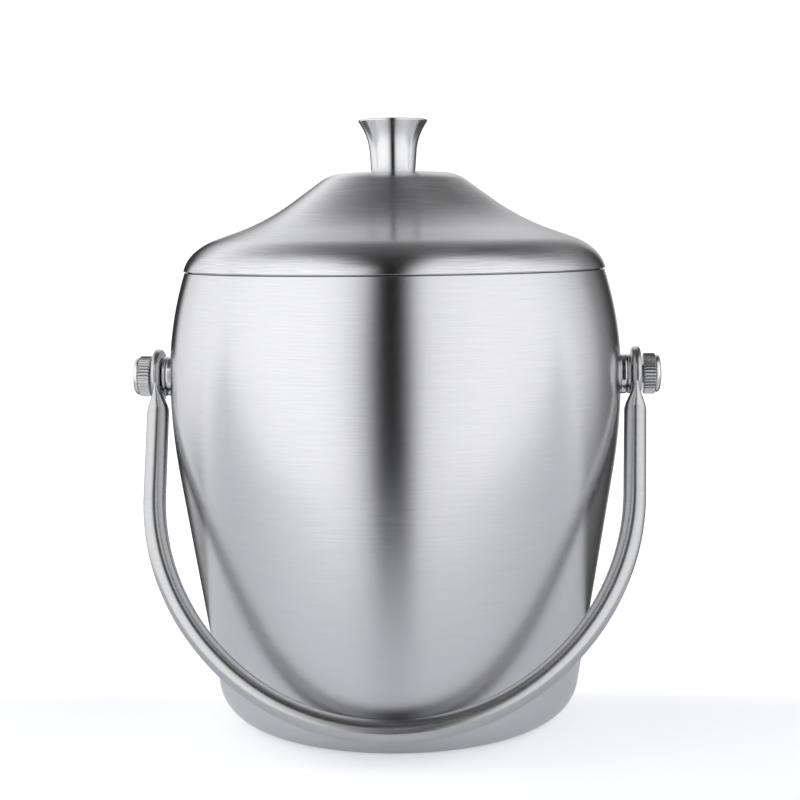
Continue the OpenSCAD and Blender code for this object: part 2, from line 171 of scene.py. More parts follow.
# Pivots and cap nuts
BOSS_EDGE_R = 0.9 * MM
WASHER_EDGE_R = 0.5 * MM
KNURL_W = 4.4 * MM
KNURL_N = 38
KNURL_STEPS = 8            # vertices to a ridge
KNURL_DEPTH = 0.35 * MM
NUT_DOME_H = 2.3 * MM
NUT_SHOULDER_R = 1.5 * MM  # rounds the cap's edge
NUT_SHOULDER = 78
NUT_GROOVE = 0.4 * MM      # between the knurl and the cap
NUT_BORE_R = 2.6 * MM
NUT_BORE_PAST = 0.3 * MM   # how far the bore runs on beyond the knurl
NUT_BEVEL = 0.3 * MM
NUT_FACE_BEVEL = 0.2 * MM

# ---- outlines: each point is (radius, height, angle of the outward normal) ----

ARC_STEP = 1.2   # degrees
ARC_LEAST = 6    # steps


def arc(centre, r, a0, a1):
    """A curve about centre. A negative radius makes it hollow."""
    n = max(ARC_LEAST, ceil(abs(a1 - a0) / ARC_STEP))
    angles = [a0 + (a1 - a0) * i / n for i in range(n + 1)]
    return [(centre[0] + r * cos(radians(a)), centre[1] + r * sin(radians(a)), a) for a in angles]


def centre_of(point, r, a):
    """The centre of the curve of radius r that passes through point with normal angle a."""
    return point[0] - r * cos(radians(a)), point[1] - r * sin(radians(a))


def along(point, w, slope):
    """The point at distance w along a slope that falls outwards."""
    return point[0] + w * cos(radians(slope)), point[1] - w * sin(radians(slope))


def outside(line):
    """The line's points without their normals."""
    return [(r, z) for r, z, a in line]


def inset(line, t):
    """The line's points moved in by t along their normals."""
    return [(r - t * cos(radians(a)), z - t * sin(radians(a))) for r, z, a in line]


def sheet(line, t):
    """The closed loop of a sheet of thickness t whose outer face follows the line."""
    return outside(line) + inset(line, t)[::-1]


def mitre(centre, r, a0, a1, t):
    """The inner corner of a pressed fold in a sheet of thickness t, for the outer curve of radius r."""
    reach, mid = (r - t) / cos(radians(a1 - a0) / 2), radians(a0 + a1) / 2
    return centre[0] + reach * cos(mid), centre[1] + reach * sin(mid)


def curl(top):
    """Centre of the fold at the wall's top edge, and the normal angle at which it meets the shoulder."""
    a = asin((top - CURL_R - WAIST_H) / (SHOULDER_R - CURL_R))
    return (BODY_R - SHOULDER_R + (SHOULDER_R - CURL_R) * cos(a), top - CURL_R), degrees(a)


def well_r():
    """Radius of the well's mouth."""
    return curl(RIM_H)[0][0] + CURL_R - RIM_W


def wall_fold():
    """The inner corner of the fold at the wall's top edge."""
    curl_c, curl_a = curl(RIM_H)
    return mitre(curl_c, CURL_R, 90, curl_a, SHELL_T)


def body_loop():
    """The outer wall, from its turned-in top edge down to the ring it stands on, and back up inside."""
    foot_c = (foot_top_r() - FOOT_R * cos(radians(TAPER)), FOOT_R)
    rim = [(well_r() + LIP_R + FOLD_INSET, RIM_H, 90)]
    edge_c, edge_a = curl(RIM_H - SEAM_H)
    step_r = edge_c[0] + CURL_R - SEAM_W
    groove = [(step_r, RIM_H), (step_r, RIM_H - SEAM_H)]
    shoulder = arc((BODY_R - SHOULDER_R, WAIST_H), SHOULDER_R, edge_a, 0)
    belly = arc((BODY_R - BELLY_R, WAIST_H), BELLY_R, 0, -TAPER)
    foot = arc(foot_c, FOOT_R, -TAPER, -90) + [(foot_c[0] - FOOT_FLANGE_W, 0, -90)]
    wall = shoulder[1:] + belly[1:] + foot[1:]
    inner = inset(rim, SHELL_T) + [wall_fold()] + inset(wall, SHELL_T)
    return outside(rim) + groove + outside(arc(edge_c, CURL_R, 90, edge_a) + wall) + inner[::-1]


def foot_top_r():
    """Radius of the wall where the straight part meets the rounded foot."""
    belly_r = BODY_R - BELLY_R * (1 - cos(radians(TAPER)))
    belly_z = WAIST_H - BELLY_R * sin(radians(TAPER))
    return belly_r - (belly_z - foot_top_z()) * tan(radians(TAPER))


def foot_top_z():
    """Height of that place."""
    return FOOT_R * (1 - sin(radians(TAPER)))


def liner_line():
    """The well's inside face, from the flat rim down to the middle of the floor."""
    wall_a = 180 - WELL_TAPER
    corner_z = WELL_FLOOR_H + WELL_CORNER_R
    lean = radians(WELL_TAPER)
    lip_z = FLANGE_TOP - LIP_R
    wall_top_r = well_r() + LIP_R * (1 / cos(lean) - 1)
    corner_r = wall_top_r - (lip_z - corner_z) * tan(lean) - WELL_CORNER_R / cos(lean)
    return (
        [(wall_fold()[0] - FLANGE_GAP, FLANGE_TOP, 90)]
        + arc((well_r() + LIP_R, lip_z), LIP_R, 90, wall_a)
        + arc((corner_r, corner_z), -WELL_CORNER_R, wall_a, 90)
        + [(0, WELL_FLOOR_H, 90)]
    )


def lid_fold():
    """Centre and inner corner of the fold along the lid's lower edge."""
    centre = (LID_R - LID_HEM_R, RIM_H + LID_HEM_R)
    return centre, mitre(centre, LID_HEM_R, LID_EDGE, -90, LID_T)


def lid_loop():
    """The lid's skin, from the knob's seat out to the fold along its lower edge, and back inside."""
    apron_n, flank_n, crown_n = 90 - LID_APRON, 90 - LID_FLANK, 90 - LID_CROWN
    dome_r = (LID_CROWN_R - KNOB_SEAT_R) / cos(radians(crown_n))
    dome = arc((KNOB_SEAT_R, LID_TOP - dome_r), dome_r, 90, crown_n)
    crown_c = centre_of(dome[-1], LID_CROWN_EDGE_R, crown_n)
    crown = arc(crown_c, LID_CROWN_EDGE_R, crown_n, flank_n)
    flank_end = along(crown[-1], LID_FLANK_W, LID_FLANK)
    hem = arc(lid_fold()[0], LID_HEM_R, LID_EDGE, -90)
    edge_c = centre_of(hem[0], LID_EDGE_R, LID_EDGE)
    edge = arc(edge_c, LID_EDGE_R, LID_BROW, LID_EDGE)
    brow_c = centre_of(edge[0], LID_BROW_R, LID_BROW)
    brow = arc(brow_c, LID_BROW_R, apron_n, LID_BROW)
    apron_start_r = brow[0][0] - LID_APRON_W * cos(radians(LID_APRON))
    sweep_r = (apron_start_r - flank_end[0]) / (cos(radians(flank_n)) - cos(radians(apron_n)))
    sweep = arc(centre_of(flank_end, -sweep_r, flank_n), -sweep_r, flank_n, apron_n)
    seat = [(well_r() + LIP_R + FOLD_INSET, RIM_H, -90)]
    face = [(0, LID_TOP, 90)] + dome + crown[1:] + sweep + brow[1:] + edge[1:]
    inner = inset(face, LID_T) + [lid_fold()[1]] + inset(seat, LID_T)
    return outside(face + hem[1:] + seat) + inner[::-1]


def pan_line():
    """The lid's inner cover, from its flange down into the mouth."""
    seat = RIM_H + LID_T
    plug_r = well_r() - PLUG_GAP
    floor_z = RIM_H - PLUG_H + PAN_T
    lip_c = (plug_r + LIP_R - PAN_T, seat + PAN_T - LIP_R)
    return (
        [(lid_fold()[1][0] - PAN_GAP, seat + PAN_T, 90)]
        + arc(lip_c, LIP_R, 90, 180)
        + arc((plug_r - PAN_T - LIP_R, floor_z + LIP_R), -LIP_R, 180, 90)
        + [(0, floor_z, 90)]
    )


def knob_loop():
    """The flared knob, with the screw's hole up from below."""
    neck_top_r = KNOB_BASE_R + KNOB_NECK_H * tan(radians(KNOB_NECK))
    flare_start = (neck_top_r, KNOB_BOTTOM + KNOB_NECK_H)
    flare_c = centre_of(flare_start, -KNOB_FLARE_R, -KNOB_NECK)
    flare = arc(flare_c, -KNOB_FLARE_R, -KNOB_NECK, -KNOB_FLARE)
    rim_r = flare[-1][0] + (KNOB_TOP - KNOB_CROWN_H - flare[-1][1]) * tan(radians(KNOB_FLARE))
    rim_z = KNOB_TOP - KNOB_FLAT_H
    top_r = rim_r - KNOB_EDGE_R
    crown_r = (top_r ** 2 + KNOB_FLAT_H ** 2) / (2 * KNOB_FLAT_H)
    crown_a = degrees(asin(top_r / crown_r))
    edge = arc((top_r, rim_z - KNOB_EDGE_R), KNOB_EDGE_R, -KNOB_FLARE, 90)
    crown = arc((0, KNOB_TOP - crown_r), crown_r, 90 - crown_a, 90)
    hole_top = KNOB_BOTTOM + SCREW_HOLE_H
    hole = [(0, hole_top), (SCREW_HOLE_R, hole_top), (SCREW_HOLE_R, KNOB_BOTTOM)]
    return hole + [(KNOB_BASE_R, KNOB_BOTTOM)] + outside(flare + edge + crown[1:-1]) + [(0, KNOB_TOP)]


# ---- meshes ----

LATHE_SIDES = 256
SMALL_SIDES = 96
NEAR = 1e-6              # closer than this counts as touching
CREASE = radians(32)     # sharper edges than this aren't smoothed


def finish_mesh(name, bm, body, nodes, material):
    """Makes the object, shades it smooth but for its creases, and puts it in the CAD nodes' place."""
    bmesh.ops.recalc_face_normals(bm, faces=bm.faces)
    mesh = bpy.data.meshes.new(name)
    bm.to_mesh(mesh)
    bm.free()
    mesh.shade_smooth()
    mesh.set_sharp_from_angle(angle=CREASE)
    mesh.materials.append(material)
    piece = bpy.data.objects.new(name, mesh)
    bpy.context.collection.objects.link(piece)
    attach(piece, body)
    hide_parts(*nodes)
    return piece


def ring_faces(bm, rings, closed):
    """Skins neighbouring rings of vertices. A ring that is one point many times gives triangles."""
    pairs = list(zip(rings, rings[1:]))
    if closed:
        pairs.append((rings[-1], rings[0]))
    for a, b in pairs:
        if a[0] is a[1] and b[0] is b[1]:
            continue
        for k in range(len(a)):
            j = (k + 1) % len(a)
            corners = list(dict.fromkeys([a[k], a[j], b[j], b[k]]))
            bm.faces.new(corners)


def in_seam(r, z):
    """True inside the groove under the lid's edge, where no light gets in."""
    middle_r = curl(RIM_H)[0][0] + CURL_R - SEAM_W / 2
    return RIM_H - SEAM_H - NEAR < z < RIM_H - NEAR and r < middle_r


def lathe(loop, sides=LATHE_SIDES):
    """A closed solid of revolution about Z. Its vertices keep how far along the outline they are, for the
    brushing, and whether they are in the seam, which the steel fills with painted shade."""
    bm = bmesh.new()
    along_layer = bm.verts.layers.float.new("along")
    shade_layer = bm.verts.layers.float.new("shade")
    turns = [radians(360 * k / sides) for k in range(sides)]
    rings, length, before = [], 0.0, loop[0]
    for r, z in loop:
        length += sqrt((r - before[0]) ** 2 + (z - before[1]) ** 2)
        before = (r, z)
        if r < NEAR:
            ring = [bm.verts.new((0, 0, z))] * sides
        else:
            ring = [bm.verts.new((r * cos(t), r * sin(t), z)) for t in turns]
        for v in ring:
            v[along_layer] = length
            # painted shade: marks the seam's vertices, which the steel colours nearly black
            v[shade_layer] = 1.0 if in_seam(r, z) else 0.0
        rings.append(ring)
    ring_faces(bm, rings, closed=True)
    return bm


def at_pivot(side):
    """Turns local +Z to point out of the bucket's left (-1) or right (1) side, at pivot height."""
    return Matrix.Translation((0, 0, WAIST_H)) @ Matrix.Rotation(radians(90 * side), 4, "Y")


# ---- materials ----

class Graph:
    """Short calls for building a node tree."""

    def __init__(self, tree):
        self.tree = tree
        tree.nodes.clear()

    def node(self, kind, **settings):
        n = self.tree.nodes.new(kind)
        for key, value in settings.items():
            setattr(n, key, value)
        return n

    def plug(self, target, value):
        """Links a socket to the target, or sets the target to a plain value."""
        if isinstance(value, bpy.types.NodeSocket):
            self.tree.links.new(value, target)
        else:
            target.default_value = value

    def math(self, operation, a, b=0.0, clamp=False):
        n = self.node("ShaderNodeMath", operation=operation, use_clamp=clamp)
        self.plug(n.inputs[0], a)
        self.plug(n.inputs[1], b)
        return n.outputs[0]

    def attribute(self, name):
        return self.node("ShaderNodeAttribute", attribute_name=name).outputs["Fac"]

    def combine(self, x, y, z):
        n = self.node("ShaderNodeCombineXYZ")
        for target, value in zip(n.inputs, (x, y, z)):
            self.plug(target, value)
        return n.outputs[0]

    def separate(self, vector):
        n = self.node("ShaderNodeSeparateXYZ")
        self.plug(n.inputs[0], vector)
        return n.outputs

    def noise(self, vector, scale, detail=2.0, rough=0.5):
        n = self.node("ShaderNodeTexNoise")
        self.plug(n.inputs["Vector"], vector)
        n.inputs["Scale"].default_value = scale
        n.inputs["Detail"].default_value = detail
        n.inputs["Roughness"].default_value = rough
        return n.outputs["Fac"]

    def rescale(self, value, low, high, new_low, new_high, smooth=False):
        n = self.node("ShaderNodeMapRange")
        if smooth:
            n.interpolation_type = "SMOOTHSTEP"
        limits = {"From Min": low, "From Max": high, "To Min": new_low, "To Max": new_high}
        for key, number in limits.items():
            n.inputs[key].default_value = number
        self.plug(n.inputs["Value"], value)
        return n.outputs["Result"]

    def mix(self, factor, a, b):
        """Mixes two colours, which are the Mix node's inputs 6 and 7 and its output 2."""
        n = self.node("ShaderNodeMix", data_type="RGBA")
        self.plug(n.inputs["Factor"], factor)
        self.plug(n.inputs[6], a)
        self.plug(n.inputs[7], b)
        return n.outputs[2]

    def ramp(self, value, stops):
        """A grey level for each place from 0 to 1, straight from stop to stop."""
        n = self.node("ShaderNodeValToRGB")
        elements = n.color_ramp.elements
        while len(elements) < len(stops):
            elements.new(0.5)
        for element, (place, level) in zip(elements, stops):
            element.position = place
            element.color = grey(level)
        self.plug(n.inputs["Fac"], value)
        return n.outputs["Color"]


MIDST = (0.3, 0.7)          # most of a noise's values lie in this stretch
BROAD = 30.0                # scale of the broad noise
HIGHLIGHT_EDGE = (0.52, 0.62)    # how pointed an edge is where its painted highlight starts, and where it is full
# painted highlight: how far the colour of pointed edges is lightened
EDGE_HIGHLIGHT = 0.5
ACROSS = 0.25               # a quarter turn
LEAST_ROUGH = 0.02
RELIEF = 0.02 * MM          # depth of the brushing
# painted shade: the nearly black colour put inside the seam groove, where shade falls
SEAM_PAINTED_SHADE = (0.01, 0.01, 0.01)


def grey(level):
    return level, level, level, 1


def shaded(tint, factor):
    """The tint made lighter or darker."""
    return (*(min(1.0, c * factor) for c in tint), 1)


def brushing(g, grain, streak, turned_piece):
    """Noise drawn out into streaks, and a broad even noise."""
    x, y, z = g.separate(g.node("ShaderNodeTexCoord").outputs["Object"])
    way = g.attribute("along") if turned_piece else z
    sizes = ((x, streak), (y, streak), (way, grain))
    lines = g.noise(g.combine(*(g.math("MULTIPLY", v, 1 / size) for v, size in sizes)), 1.0, 3.0, 0.6)
    return lines, g.noise(g.combine(x, y, z), BROAD, 3.0)


def steel_colour(g, lines, tint, contrast, turned_piece):
    """Light and dark streaks of the brushing, a painted highlight that lightens pointed edges, and painted
    shade, nearly black, inside the seam.
    """
    light, dark = shaded(tint, 1 + contrast), shaded(tint, 1 - contrast)
    streaks = g.mix(g.rescale(lines, *MIDST, 0.0, 1.0), dark, light)
    pointed = g.node("ShaderNodeNewGeometry").outputs["Pointiness"]
    # painted highlight: pointed edges get a lighter colour, as if catching the light
    edge_light = g.rescale(pointed, *HIGHLIGHT_EDGE, 0.0, 1.0)
    with_edge_light = g.mix(g.math("MULTIPLY", edge_light, EDGE_HIGHLIGHT), streaks, light)
    # painted shade: the seam's vertices are coloured nearly black
    return g.mix(g.attribute("shade"), with_edge_light, (*SEAM_PAINTED_SHADE, 1)) if turned_piece else with_edge_light


def steel(name, tint, roughness, spread, grain, streak,
          stretch=0.0, bump=0.3, contrast=0.05, turned_piece=True):
    """Bare stainless steel. The brushing's streaks are grain wide and streak long, in metres. The roughness
    varies by the spread, and the stretch draws highlights out across the streaks."""
    material = bpy.data.materials.new(name)
    material.use_nodes = True
    g = Graph(material.node_tree)
    shader = g.node("ShaderNodeBsdfPrincipled")
    socket = shader.inputs
    g.plug(socket["Metallic"], 1.0)
    g.plug(socket["Anisotropic"], stretch)
    if stretch:
        g.plug(socket["Anisotropic Rotation"], ACROSS)
        tangent = g.node("ShaderNodeTangent", direction_type="RADIAL", axis="Z")
        g.plug(socket["Tangent"], tangent.outputs["Tangent"])
    lines, broad = brushing(g, grain, streak, turned_piece)
    g.plug(socket["Base Color"], steel_colour(g, lines, tint, contrast, turned_piece))
    rough = g.math("ADD", g.rescale(lines, 0.25, 0.75, -spread, spread), roughness)
    rough = g.math("ADD", rough, g.rescale(broad, *MIDST, -0.3 * spread, 0.3 * spread))
    g.plug(socket["Roughness"], g.math("MAXIMUM", rough, LEAST_ROUGH))
    relief = g.node("ShaderNodeBump")
    g.plug(relief.inputs["Strength"], bump)
    g.plug(relief.inputs["Distance"], RELIEF)
    g.plug(relief.inputs["Height"], lines)
    g.plug(socket["Normal"], relief.outputs["Normal"])
    g.plug(g.node("ShaderNodeOutputMaterial").inputs["Surface"], shader.outputs["BSDF"])
    return material


GREY = (0.615, 0.617, 0.635)
BRIGHT = (0.66, 0.662, 0.67)
BAR_GREY = (0.49, 0.492, 0.50)
DULL = (0.50, 0.50, 0.51)

wall_steel = steel("brushed_wall", GREY, 0.24, 0.02, 0.22 * MM, 14 * MM, stretch=0.95, bump=0.2)
lid_steel = steel(
    "brushed_lid", GREY, 0.22, 0.02, 0.25 * MM, 11 * MM, stretch=0.95, bump=0.22, contrast=0.12
)
well_steel = steel("satin_well", GREY, 0.34, 0.05, 0.35 * MM, 20 * MM, stretch=0.6)
knob_steel = steel("polished_knob", BRIGHT, 0.20, 0.015, 0.15 * MM, 20 * MM, stretch=0.95, bump=0.03)
bar_steel = steel("polished_bar", BAR_GREY, 0.24, 0.03, 0.3 * MM, 5 * MM, bump=0.1, turned_piece=False)
pivot_steel = steel("polished_pivot", BRIGHT, 0.10, 0.02, 0.25 * MM, 3 * MM, bump=0.05)
nut_steel = steel("knurled_nut", BRIGHT, 0.20, 0.05, 0.2 * MM, 2 * MM, bump=0.2)
fastener_steel = steel("fastener_steel", DULL, 0.32, 0.05, 0.3 * MM, 3 * MM, turned_piece=False)

# ---- bucket and lid ----


def turned(name, loop, body, material, sides=LATHE_SIDES):
    """A turned piece about the bucket's own axis, in place of the CAD node of that name."""
    return finish_mesh(name + "_smooth", lathe(loop, sides), body, [name], material)


turned("outer_shell", body_loop(), "bucket", wall_steel)
turned("inner_liner", sheet(liner_line(), LINER_T), "bucket", well_steel)
turned("lid_shell", lid_loop(), "lid", lid_steel)
turned("lid_pan", sheet(pan_line(), PAN_T), "lid", well_steel)
turned("lid_knob", knob_loop(), "lid", knob_steel, SMALL_SIDES)

# ---- handle ----

BAR_SIDES = 40
BEND_STEP = 1.5
NECK_STEPS = 14


def handle_line():
    """Where the bar's middle runs in the handle's own plane, x across and y down: the eye's x, the side
    bend's centre, and the bottom bend's radius and y."""
    eye_x = BODY_R + EYE_OUT
    lean, split = radians(LEG_LEAN), radians(BEND_SPLIT)
    leg_end = (eye_x - LEG_H * tan(lean), LEG_H)
    side_c = (leg_end[0] - SIDE_BEND_R * cos(lean), leg_end[1] - SIDE_BEND_R * sin(lean))
    split_x = side_c[0] + SIDE_BEND_R * cos(split)
    split_y = side_c[1] + SIDE_BEND_R * sin(split)
    bottom_r = split_x / cos(split)
    bottom_y = split_y - bottom_r * sin(split)
    return eye_x, side_c, bottom_r, bottom_y


def rest_tilt():
    """How far the hanging handle leans forward before it meets the lower wall."""
    bottom_r, bottom_y = handle_line()[2:]
    taper = radians(TAPER)
    reach = (foot_top_r() + (WAIST_H - foot_top_z()) * tan(taper)) * cos(taper) + ROD_R + REST_GAP
    return asin(reach / (bottom_r + bottom_y)) - taper


def blend(f):
    """0 to 1 with a gentle start and end."""
    return f * f * (3 - 2 * f)


def neck_stations():
    """Stations from inside the right eye down to where the bar is round."""
    eye_x = handle_line()[0]
    root = NECK_ROOT * EYE_R
    root_w = NECK_ROOT_W * sqrt(EYE_R ** 2 - root ** 2)
    root_t = NECK_ROOT_T * EYE_T
    lean = radians(LEG_LEAN)
    stations = []
    for i in range(NECK_STEPS + 1):
        f = i / NECK_STEPS
        down = root + (NECK_H - root) * f
        half_t = root_t + (ROD_R - root_t) * blend(f)
        half_w = root_w + (ROD_R - root_w) * blend(f)
        stations.append((eye_x - down * tan(lean), down, lean, half_t, half_w))
    return stations


def bend_stations(centre, r, a0, a1):
    """Stations of the round bar along a bend, from just past angle a0 to a1."""
    n = ceil((a1 - a0) / BEND_STEP)
    angles = [radians(a0 + (a1 - a0) * i / n) for i in range(1, n + 1)]
    return [(centre[0] + r * cos(a), centre[1] + r * sin(a), a, ROD_R, ROD_R) for a in angles]


def bar_stations():
    """From the right eye round to the left: x, y down, side angle, half thickness and half width."""
    side_c, bottom_r, bottom_y = handle_line()[1:]
    right = neck_stations()
    right += bend_stations(side_c, SIDE_BEND_R, LEG_LEAN - BEND_STEP, BEND_SPLIT)
    right += bend_stations((0, bottom_y), bottom_r, BEND_SPLIT, 90)
    left = [(-x, y, radians(180) - a, half_t, half_w) for x, y, a, half_t, half_w in right[-2::-1]]
    return right + left


def swept_bar():
    """The bar as one closed skin through its stations, in the handle's own frame."""
    bm = bmesh.new()
    rings = []
    for x, y, a, half_t, half_w in bar_stations():
        ring = []
        for k in range(BAR_SIDES):
            q = radians(360 * k / BAR_SIDES)
            out, fore = half_t * cos(q), half_w * sin(q)
            ring.append(bm.verts.new((x + out * cos(a), -y - out * sin(a), fore)))
        rings.append(ring)
    ring_faces(bm, rings, closed=False)
    bm.faces.new(rings[0])
    bm.faces.new(rings[-1])
    bmesh.ops.recalc_face_normals(bm, faces=bm.faces)
    return bm


def eye_disc(side):
    """The flattened eye with its rounded rim and its hole, in the handle's own frame."""
    half = EYE_T / 2
    rim = arc((EYE_R - EYE_EDGE_R, half - EYE_EDGE_R), EYE_EDGE_R, 90, 0)
    top = [(EYE_HOLE_R, half)] + outside(rim)
    loop = top + [(r, -z) for r, z in reversed(top)]
    bm = lathe(loop, SMALL_SIDES)
    eye_x = handle_line()[0]
    place = Matrix.Rotation(radians(90 * side), 4, "Y") @ Matrix.Translation((0, 0, eye_x))
    bmesh.ops.transform(bm, matrix=place, verts=bm.verts)
    return bm


def loose_object(name, bm):
    """A plain object, for a union."""
    mesh = bpy.data.meshes.new(name)
    bmesh.ops.recalc_face_normals(bm, faces=bm.faces)
    bm.to_mesh(mesh)
    bm.free()
    piece = bpy.data.objects.new(name, mesh)
    bpy.context.collection.objects.link(piece)
    return piece


def union(pieces):
    """Joins closed pieces into one mesh and removes the rest."""
    first, others = pieces[0], pieces[1:]
    for other in others:
        change = first.modifiers.new("join", "BOOLEAN")
        change.operation = "UNION"
        change.solver = "EXACT"
        change.object = other
    graph = bpy.context.evaluated_depsgraph_get()
    joined = bpy.data.meshes.new_from_object(first.evaluated_get(graph))
    bm = bmesh.new()
    bm.from_mesh(joined)
    bpy.data.meshes.remove(joined)
    for piece in pieces:
        bpy.data.objects.remove(piece)
    return bm


def make_handle():
    """The bar and its two eyes as one piece, hanging forward."""
    parts = [loose_object("bar", swept_bar())]
    parts += [loose_object("eye", eye_disc(side)) for side in (-1, 1)]
    bm = union(parts)
    place = Matrix.Translation((0, 0, WAIST_H)) @ Matrix.Rotation(radians(90) - rest_tilt(), 4, "X")
    bmesh.ops.transform(bm, matrix=place, verts=bm.verts)
    finish_mesh("bail_handle_smooth", bm, "handle", ["bail_handle"], bar_steel)


make_handle()

# ---- pivots ----


def rounded_disc(r, hole_r, z0, z1, edge_r):
    """Outline of a disc with a hole and well-rounded rims."""
    low = arc((r - edge_r, z0 + edge_r), edge_r, -90, 0)
    high = arc((r - edge_r, z1 - edge_r), edge_r, 0, 90)
    return [(hole_r, z0)] + outside(low + high) + [(hole_r, z1)]


def pivot_piece(name, bm, side, body, material):
    """Moves a piece made about Z to the pivot on one side."""
    bmesh.ops.transform(bm, matrix=at_pivot(side), verts=bm.verts)
    finish_mesh(name + "_smooth", bm, body, [name], material)


def nut_cap(base_z, base_r):
    """Outline of the nut's cap: a rounded shoulder, then a shallow dome up to the middle."""
    turn = radians(NUT_SHOULDER)
    joint_r = base_r - NUT_SHOULDER_R * (1 - cos(turn))
    dome_r = joint_r / cos(turn)
    dome_z = base_z + NUT_DOME_H - dome_r
    shoulder_z = dome_z + (dome_r - NUT_SHOULDER_R) * sin(turn)
    shoulder = arc((base_r - NUT_SHOULDER_R, shoulder_z), NUT_SHOULDER_R, 0, NUT_SHOULDER)
    return shoulder + arc((0, dome_z), dome_r, NUT_SHOULDER, 90)[1:]


def knurled_ring(bm, r, z, depth):
    """A ring of vertices whose radius rises by depth at each ridge of the knurl."""
    ring = []
    for k in range(KNURL_N * KNURL_STEPS):
        t = radians(360 * k / (KNURL_N * KNURL_STEPS))
        reach = r + depth * (0.5 + 0.5 * cos(KNURL_N * t))
        ring.append(bm.verts.new((reach * cos(t), reach * sin(t), z)))
    return ring


def nut_mesh():
    """The knurled cap nut about Z: ridged sides, a bevel at each end and a domed cap."""
    z0, z1 = NUT_LOW.x, NUT_LOW.x + KNURL_W
    bore_top = z1 + NUT_BORE_PAST
    root_r = NUT_R - KNURL_DEPTH
    cap_r = root_r - NUT_BEVEL
    groove_r = cap_r - NUT_GROOVE
    outline = [
        (NUT_BORE_R, bore_top, 0), (NUT_BORE_R, z0, 0), (root_r - NUT_FACE_BEVEL, z0, 0),
        (root_r, z0 + NUT_BEVEL, KNURL_DEPTH), (root_r, z1 - NUT_BEVEL, KNURL_DEPTH),
        (cap_r, z1, 0), (groove_r, z1, 0), (groove_r, z1 + NUT_GROOVE / 2, 0),
    ]
    outline += [(r, z, 0) for r, z, a in nut_cap(z1, cap_r)[:-1]]
    bm = bmesh.new()
    sides = KNURL_N * KNURL_STEPS
    rings = [[bm.verts.new((0, 0, bore_top))] * sides]
    rings += [knurled_ring(bm, r, z, depth) for r, z, depth in outline]
    rings.append([bm.verts.new((0, 0, z1 + NUT_DOME_H))] * sides)
    ring_faces(bm, rings, closed=False)
    return bm


def make_pivot(side, word):
    """The collar, washer and cap nut on one side."""
    boss = rounded_disc(BOSS_R, NUT_BORE_R, BODY_R - SHELL_T, BOSS_HIGH.x, BOSS_EDGE_R)
    washer = rounded_disc(BOSS_R, NUT_BORE_R, BOSS_HIGH.x, WASHER_HIGH.x, WASHER_EDGE_R)
    for name, loop in (("pivot_boss_", boss), ("pivot_washer_", washer)):
        bm = lathe(loop, SMALL_SIDES)
        pivot_piece(name + word, bm, side, "bucket", pivot_steel)
    pivot_piece("cap_nut_" + word, nut_mesh(), side, "nut_" + word, nut_steel)


make_pivot(-1, "left")
make_pivot(1, "right")

# ---- pieces that keep their CAD mesh ----

KEPT = ["base_plate", "knob_screw", "knob_washer"]
for name in ("pivot_stud_", "stud_plate_", "pivot_sleeve_"):
    KEPT += [name + "left", name + "right"]
for name in KEPT:
    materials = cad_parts[name].data.materials
    materials.clear()
    materials.append(fastener_steel)

# ---- floor, world and light ----

FLOOR_FRONT = 0.20   # the table's edge before the bucket, past the camera's view
FLOOR_BACK = 0.10    # and its edge behind the bucket, white on white
FLOOR_RIM = 0.01     # how far before that edge it is fully white
FLOOR_SIDE = 12.0    # how far it goes on at the sides
FLOOR_TINT = (0.81, 0.82, 0.86)
FLOOR_GLOW = 0.17    # light added towards the bucket
FLOOR_WHITE = 0.29   # more light towards the camera, where the open table is white


def floor_material():
    """Pale and matt, with a light of its own that makes the open table white for the camera."""
    material = bpy.data.materials.new("floor")
    material.use_nodes = True
    g = Graph(material.node_tree)
    shader = g.node("ShaderNodeBsdfPrincipled")
    socket = shader.inputs
    g.plug(socket["Base Color"], (*FLOOR_TINT, 1))
    g.plug(socket["Roughness"], 0.9)
    g.plug(socket["Specular IOR Level"], 0.1)
    g.plug(socket["Emission Color"], grey(1))
    away = g.separate(g.node("ShaderNodeTexCoord").outputs["Object"])[1]
    white = g.rescale(away, 0.0, FLOOR_BACK - FLOOR_RIM, FLOOR_WHITE, 1.0, smooth=True)
    seen = g.node("ShaderNodeLightPath").outputs["Is Camera Ray"]
    g.plug(socket["Emission Strength"], g.math("ADD", g.math("MULTIPLY", seen, white), FLOOR_GLOW))
    g.plug(g.node("ShaderNodeOutputMaterial").inputs["Surface"], shader.outputs["BSDF"])
    return material


def make_floor():
    """The table top, one flat face."""
    left, right, near, far = -FLOOR_SIDE, FLOOR_SIDE, -FLOOR_FRONT, FLOOR_BACK
    corners = [(left, near, 0), (right, near, 0), (right, far, 0), (left, far, 0)]
    mesh = bpy.data.meshes.new("floor")
    mesh.from_pydata(corners, [], [(0, 1, 2, 3)])
    mesh.materials.append(floor_material())
    floor = bpy.data.objects.new("floor", mesh)
    bpy.context.collection.objects.link(floor)


# Light from round the horizon: degrees from the camera's side, left below 0, and how bright
RING = [
    (-180, 0.80), (-174, 0.80), (-170, 0.02), (-152, 0.02), (-145, 0.62), (-122, 0.86), (-90, 0.97),
    (-60, 1.0), (-36, 0.97), (-26, 0.86), (-21, 0.72), (-16, 0.53), (-12, 0.26), (-8, 0.05), (-5, 0.0),
    (1, 0.0), (4, 0.06), (8, 0.32), (12, 0.64), (17, 0.79), (26, 0.87), (45, 0.93), (80, 0.93),
    (95, 0.84), (114, 0.58), (128, 0.25), (146, 0.06), (158, 0.02), (164, 0.35), (180, 0.45),
]
# Light in the upright plane through the camera: degrees from the camera's side, over the top, to behind
ARCH = [
    (0, 0.0), (70, 0.02), (90, 0.06), (112, 0.09), (125, 0.14), (133, 0.41), (146, 0.72), (160, 0.80),
    (180, 0.85),
]
